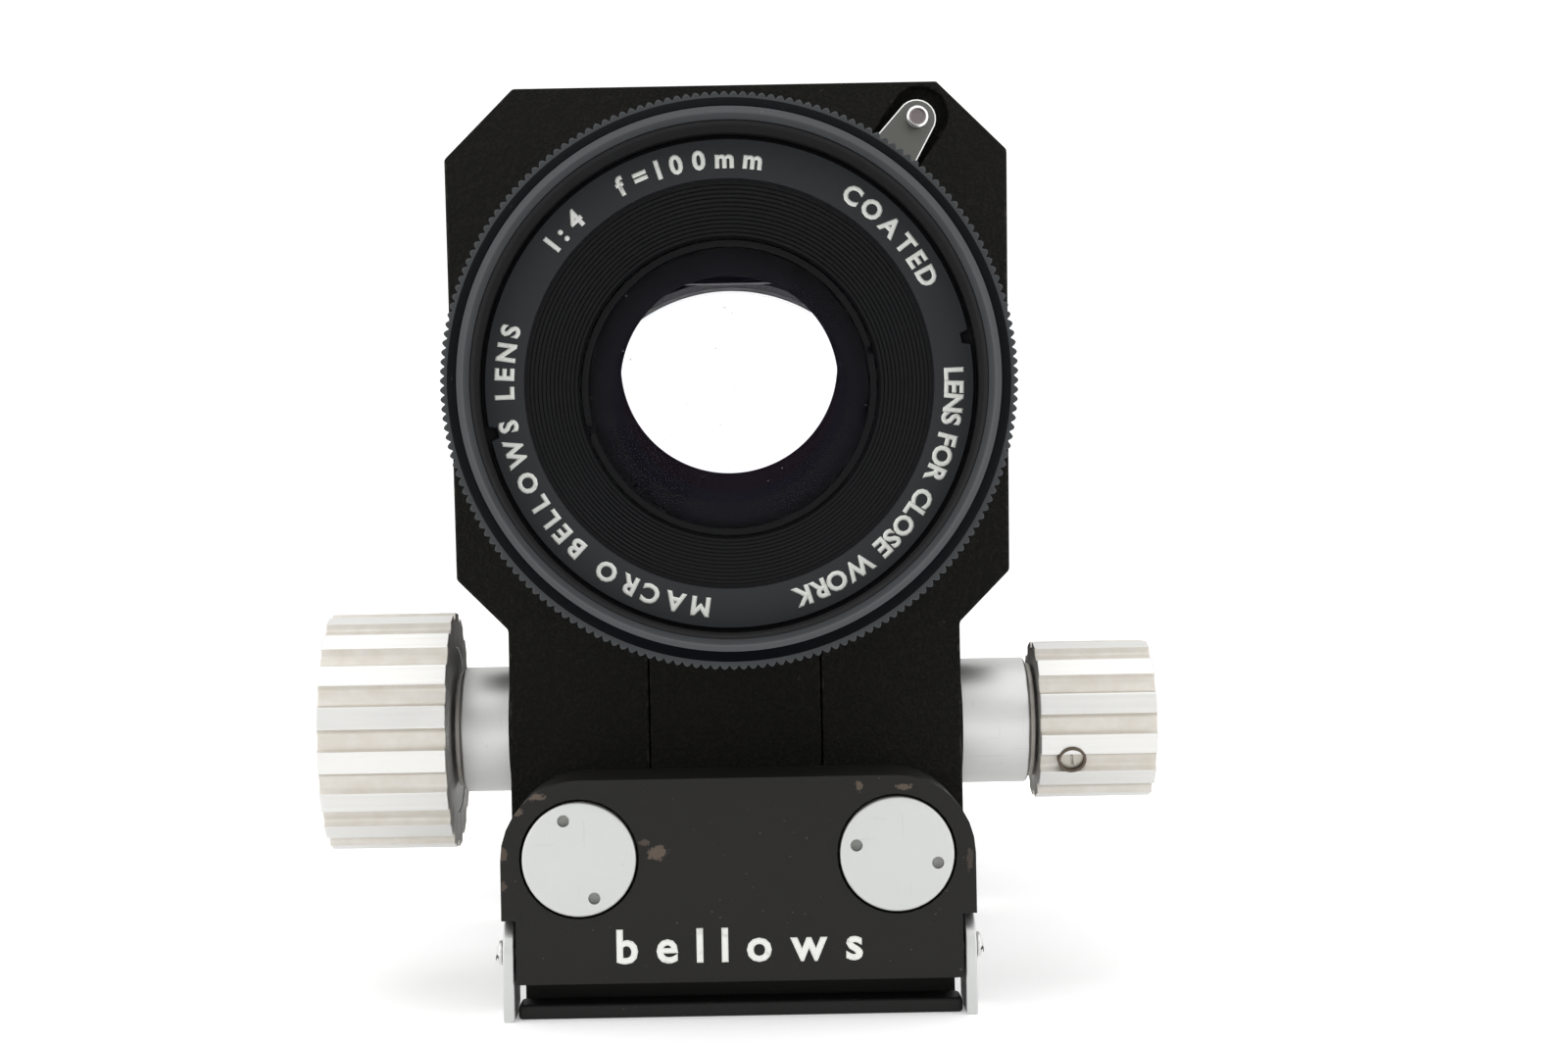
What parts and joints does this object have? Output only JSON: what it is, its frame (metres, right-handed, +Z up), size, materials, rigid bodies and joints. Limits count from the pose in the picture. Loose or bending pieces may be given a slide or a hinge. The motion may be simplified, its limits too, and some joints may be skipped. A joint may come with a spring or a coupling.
{
  "type": "macro bellows unit with lens",
  "caption": "Camera macro bellows unit: geared front and rear standards and a tripod block on a twin-rod rail, with a short-mount lens and knobs at the sides.",
  "frame": {"origin": "centre of the tripod block's flat base face, at the rail's middle", "axes": "+Z up out of the base, -Y the way the lens looks, +X to the right of someone facing the lens"},
  "size_m": [0.1011, 0.1954, 0.1103],
  "materials": {
    "crinkle_black": "fine-grained crinkle paint, warm black",
    "satin_black": "satin black enamel with worn edges",
    "lens_black": "satin to gloss bluish-black lens enamel",
    "name_blue": "dark blue-grey anodised ring, engraved and filled white",
    "silver": "satin, finely scratched",
    "knob_silver": "satin with brushed warm grooves",
    "steel": "turned and ground",
    "brass": "machined",
    "bellows_cloth": "coated pleated bellows cloth",
    "coated_glass": "polished, with a blue-violet coating"
  },
  "bodies": {
    "rail": {"front_end_plate": "satin_black", "rear_end_plate": "satin_black", "rod_left": "silver", "rod_right": "silver", "front_rod_cap_left": "silver", "front_rod_cap_right": "silver", "rear_rod_cap_left": "silver", "rear_rod_cap_right": "silver", "rack_bar": "steel", "bracket_screw_left": "steel", "bracket_screw_right": "steel", "bellows": "bellows_cloth"},
    "bracket": {"bracket_arm_left": "silver", "bracket_arm_right": "silver", "bracket_plate": "satin_black"},
    "front_standard": {"front_standard_frame": "crinkle_black", "gear_cover": "crinkle_black", "lens_mount_ring": "silver", "front_bellows_frame": "satin_black", "front_sleeve_left": "silver", "front_sleeve_right": "silver", "front_lock_pad": "brass"},
    "front_drive": {"front_drive_shaft": "steel", "front_pinion": "brass", "front_drive_knob": "knob_silver"},
    "front_lock": {"front_lock_spindle": "steel", "front_lock_knob": "knob_silver", "lock_set_screw": "steel"},
    "lens_release": {"release_lever": "steel", "release_pin": "steel"},
    "lens": {"lens_barrel": "lens_black", "lens_bayonet": "silver", "name_ring": "name_blue", "front_baffle": "satin_black", "front_element": "coated_glass", "rear_element": "coated_glass", "iris_plate": "satin_black"},
    "aperture": {"aperture_ring": "lens_black"},
    "rear_standard": {"rear_standard_frame": "crinkle_black", "rear_bellows_frame": "satin_black", "rear_lock_pad": "brass"},
    "rear_lock": {"rear_lock_spindle": "steel", "rear_lock_knob": "knob_silver"},
    "camera_mount": {"camera_mount_ring": "silver"},
    "rotation_lock": {"rotation_lock_screw": "silver"},
    "tripod_block": {"tripod_block": "crinkle_black", "tripod_socket_small": "steel", "tripod_socket_large": "steel"},
    "tripod_drive": {"tripod_drive_shaft": "steel", "tripod_pinion": "brass", "tripod_drive_knob": "knob_silver"},
    "tripod_lock": {"tripod_lock_spindle": "steel", "tripod_lock_knob": "knob_silver"},
    "iris_blade_1": {"iris_blade_1": "satin_black"},
    "iris_blade_2": {"iris_blade_2": "satin_black"},
    "iris_blade_3": {"iris_blade_3": "satin_black"},
    "iris_blade_4": {"iris_blade_4": "satin_black"},
    "iris_blade_5": {"iris_blade_5": "satin_black"},
    "iris_blade_6": {"iris_blade_6": "satin_black"}
  },
  "joints": [
    {"name": "front_slide", "type": "slide", "parent": "rail", "child": "front_standard", "axis": [0, 1, 0], "range_m": [0, 0.042], "deforming": ["bellows"]},
    {"name": "rear_slide", "type": "slide", "parent": "rail", "child": "rear_standard", "axis": [0, 1, 0], "range_m": [-0.042, 0], "deforming": ["bellows"]},
    {"name": "tripod_slide", "type": "slide", "parent": "rail", "child": "tripod_block", "axis": [0, 1, 0], "range_m": [-0.034, 0.034]},
    {"name": "front_drive_turn", "type": "hinge", "parent": "front_standard", "child": "front_drive", "pos_m": [0, -0.062, 0.03215], "axis": [1, 0, 0], "range_deg": [-410, 1]},
    {"name": "tripod_drive_turn", "type": "hinge", "parent": "tripod_block", "child": "tripod_drive", "pos_m": [0, 0, 0.009], "axis": [1, 0, 0], "range_deg": [-500, 500]},
    {"name": "front_lock_turn", "type": "hinge", "parent": "front_standard", "child": "front_lock", "pos_m": [0.02, -0.062, 0.03215], "axis": [1, 0, 0], "range_deg": [-120, 0]},
    {"name": "rear_lock_turn", "type": "hinge", "parent": "rear_standard", "child": "rear_lock", "pos_m": [0.02, 0.062, 0.03215], "axis": [1, 0, 0], "range_deg": [-120, 0]},
    {"name": "tripod_lock_turn", "type": "hinge", "parent": "tripod_block", "child": "tripod_lock", "pos_m": [0.02, 0, 0.009], "axis": [1, 0, 0], "range_deg": [-120, 0]},
    {"name": "lens_release_push", "type": "slide", "parent": "front_standard", "child": "lens_release", "axis": [0.5736, 0, 0.8192], "range_m": [0, 0.0012], "stiffness_N_per_m": 800, "springref_m": -0.0015},
    {"name": "lens_twist", "type": "hinge", "parent": "front_standard", "child": "lens", "pos_m": [0, -0.074, 0.0726], "axis": [0, -1, 0], "range_deg": [0, 54]},
    {"name": "aperture_turn", "type": "hinge", "parent": "lens", "child": "aperture", "pos_m": [0, -0.09, 0.0726], "axis": [0, -1, 0], "range_deg": [0, 60]},
    {"name": "camera_turn", "type": "hinge", "parent": "rear_standard", "child": "camera_mount", "pos_m": [0, 0.0713, 0.0726], "axis": [0, 1, 0], "range_deg": [0, 90]},
    {"name": "rotation_lock_turn", "type": "hinge", "parent": "rear_standard", "child": "rotation_lock", "pos_m": [0.0268, 0.0713, 0.1023], "axis": [0, 1, 0], "range_deg": [-180, 0]},
    {"name": "bracket_fold", "type": "hinge", "parent": "rail", "child": "bracket", "pos_m": [0, -0.0815, 0.0075], "axis": [-1, 0, 0], "range_deg": [0, 90]},
    {"name": "iris_1_swing", "type": "hinge", "parent": "lens", "child": "iris_blade_1", "pos_m": [0.01705, -0.0772, 0.0726], "axis": [0, -1, 0], "range_deg": [0, 38]},
    {"name": "iris_2_swing", "type": "hinge", "parent": "lens", "child": "iris_blade_2", "pos_m": [0.00852, -0.0772, 0.08737], "axis": [0, -1, 0], "range_deg": [0, 38]},
    {"name": "iris_3_swing", "type": "hinge", "parent": "lens", "child": "iris_blade_3", "pos_m": [-0.00852, -0.0772, 0.08737], "axis": [0, -1, 0], "range_deg": [0, 38]},
    {"name": "iris_4_swing", "type": "hinge", "parent": "lens", "child": "iris_blade_4", "pos_m": [-0.01705, -0.0772, 0.0726], "axis": [0, -1, 0], "range_deg": [0, 38]},
    {"name": "iris_5_swing", "type": "hinge", "parent": "lens", "child": "iris_blade_5", "pos_m": [-0.00852, -0.0772, 0.05783], "axis": [0, -1, 0], "range_deg": [0, 38]},
    {"name": "iris_6_swing", "type": "hinge", "parent": "lens", "child": "iris_blade_6", "pos_m": [0.00852, -0.0772, 0.05783], "axis": [0, -1, 0], "range_deg": [0, 38]}
  ],
  "couplings": [
    {"joint": "front_drive_turn", "follows": "front_slide", "rad_per_m": -166.67},
    {"joint": "tripod_drive_turn", "follows": "tripod_slide", "rad_per_m": 250},
    {"joint": "iris_1_swing", "follows": "aperture_turn", "ratio": 0.58},
    {"joint": "iris_2_swing", "follows": "aperture_turn", "ratio": 0.58},
    {"joint": "iris_3_swing", "follows": "aperture_turn", "ratio": 0.58},
    {"joint": "iris_4_swing", "follows": "aperture_turn", "ratio": 0.58},
    {"joint": "iris_5_swing", "follows": "aperture_turn", "ratio": 0.58},
    {"joint": "iris_6_swing", "follows": "aperture_turn", "ratio": 0.58}
  ]
}
